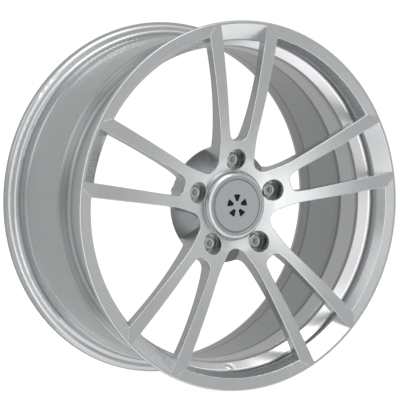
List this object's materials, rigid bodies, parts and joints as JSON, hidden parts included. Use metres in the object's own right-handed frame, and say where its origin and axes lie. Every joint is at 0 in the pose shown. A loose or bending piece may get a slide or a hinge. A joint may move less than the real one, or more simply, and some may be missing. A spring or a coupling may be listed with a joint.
{
  "type": "wheel rim",
  "caption": "One-piece forged wheel rim with paired slim spokes, a snap-in centre cap and two-piece ball-seat lug bolts.",
  "frame": {"origin": "on the wheel's axis, at the face that bolts to the hub", "axes": "-Y points to the street side, +Y to the car side; +Z runs through lug bolt 1 and between the two spokes of its pair; the valve hole is towards -Z"},
  "size_m": [0.5219, 0.2386, 0.522],
  "materials": {
    "silver_paint": "satin silver paint over forged aluminium",
    "cap_moulding": "silver-grey moulded plastic",
    "cap_metal": "satin silver",
    "inlay_black": "gloss black",
    "spring_steel": "bright drawn wire",
    "collar_steel": "zinc plated",
    "bolt_steel": "zinc plated"
  },
  "bodies": {
    "wheel": {"wheel_forging": "silver_paint"},
    "cap": {"cap_body": "cap_moulding", "cap_clip_ring": "spring_steel", "cap_face_disc": "cap_metal", "cap_inlay_1": "inlay_black", "cap_inlay_2": "inlay_black", "cap_inlay_3": "inlay_black", "cap_inlay_4": "inlay_black", "cap_inlay_5": "inlay_black"},
    "lug_collar_1": {"lug_collar_1": "collar_steel"},
    "lug_bolt_1": {"lug_bolt_1": "bolt_steel"},
    "lug_collar_2": {"lug_collar_2": "collar_steel"},
    "lug_bolt_2": {"lug_bolt_2": "bolt_steel"},
    "lug_collar_3": {"lug_collar_3": "collar_steel"},
    "lug_bolt_3": {"lug_bolt_3": "bolt_steel"},
    "lug_collar_4": {"lug_collar_4": "collar_steel"},
    "lug_bolt_4": {"lug_bolt_4": "bolt_steel"},
    "lug_collar_5": {"lug_collar_5": "collar_steel"},
    "lug_bolt_5": {"lug_bolt_5": "bolt_steel"}
  },
  "joints": [
    {"name": "cap_pull", "type": "slide", "parent": "wheel", "child": "cap", "axis": [0, -1, 0], "range_m": [0, 0.03]},
    {"name": "lug_1_back_out", "type": "slide", "parent": "wheel", "child": "lug_collar_1", "axis": [0, -1, 0], "range_m": [0, 0.0247]},
    {"name": "lug_1_turn", "type": "hinge", "parent": "lug_collar_1", "child": "lug_bolt_1", "pos_m": [0, 0, 0.065], "axis": [0, -1, 0], "range_deg": [0, 5940]},
    {"name": "lug_2_back_out", "type": "slide", "parent": "wheel", "child": "lug_collar_2", "axis": [0, -1, 0], "range_m": [0, 0.0247]},
    {"name": "lug_2_turn", "type": "hinge", "parent": "lug_collar_2", "child": "lug_bolt_2", "pos_m": [0.06182, 0, 0.02009], "axis": [0, -1, 0], "range_deg": [0, 5940]},
    {"name": "lug_3_back_out", "type": "slide", "parent": "wheel", "child": "lug_collar_3", "axis": [0, -1, 0], "range_m": [0, 0.0247]},
    {"name": "lug_3_turn", "type": "hinge", "parent": "lug_collar_3", "child": "lug_bolt_3", "pos_m": [0.03821, 0, -0.05259], "axis": [0, -1, 0], "range_deg": [0, 5940]},
    {"name": "lug_4_back_out", "type": "slide", "parent": "wheel", "child": "lug_collar_4", "axis": [0, -1, 0], "range_m": [0, 0.0247]},
    {"name": "lug_4_turn", "type": "hinge", "parent": "lug_collar_4", "child": "lug_bolt_4", "pos_m": [-0.03821, 0, -0.05259], "axis": [0, -1, 0], "range_deg": [0, 5940]},
    {"name": "lug_5_back_out", "type": "slide", "parent": "wheel", "child": "lug_collar_5", "axis": [0, -1, 0], "range_m": [0, 0.0247]},
    {"name": "lug_5_turn", "type": "hinge", "parent": "lug_collar_5", "child": "lug_bolt_5", "pos_m": [-0.06182, 0, 0.02009], "axis": [0, -1, 0], "range_deg": [0, 5940]}
  ],
  "couplings": [
    {"joint": "lug_1_turn", "follows": "lug_1_back_out", "rad_per_m": 4188.8},
    {"joint": "lug_2_turn", "follows": "lug_2_back_out", "rad_per_m": 4188.8},
    {"joint": "lug_3_turn", "follows": "lug_3_back_out", "rad_per_m": 4188.8},
    {"joint": "lug_4_turn", "follows": "lug_4_back_out", "rad_per_m": 4188.8},
    {"joint": "lug_5_turn", "follows": "lug_5_back_out", "rad_per_m": 4188.8}
  ]
}
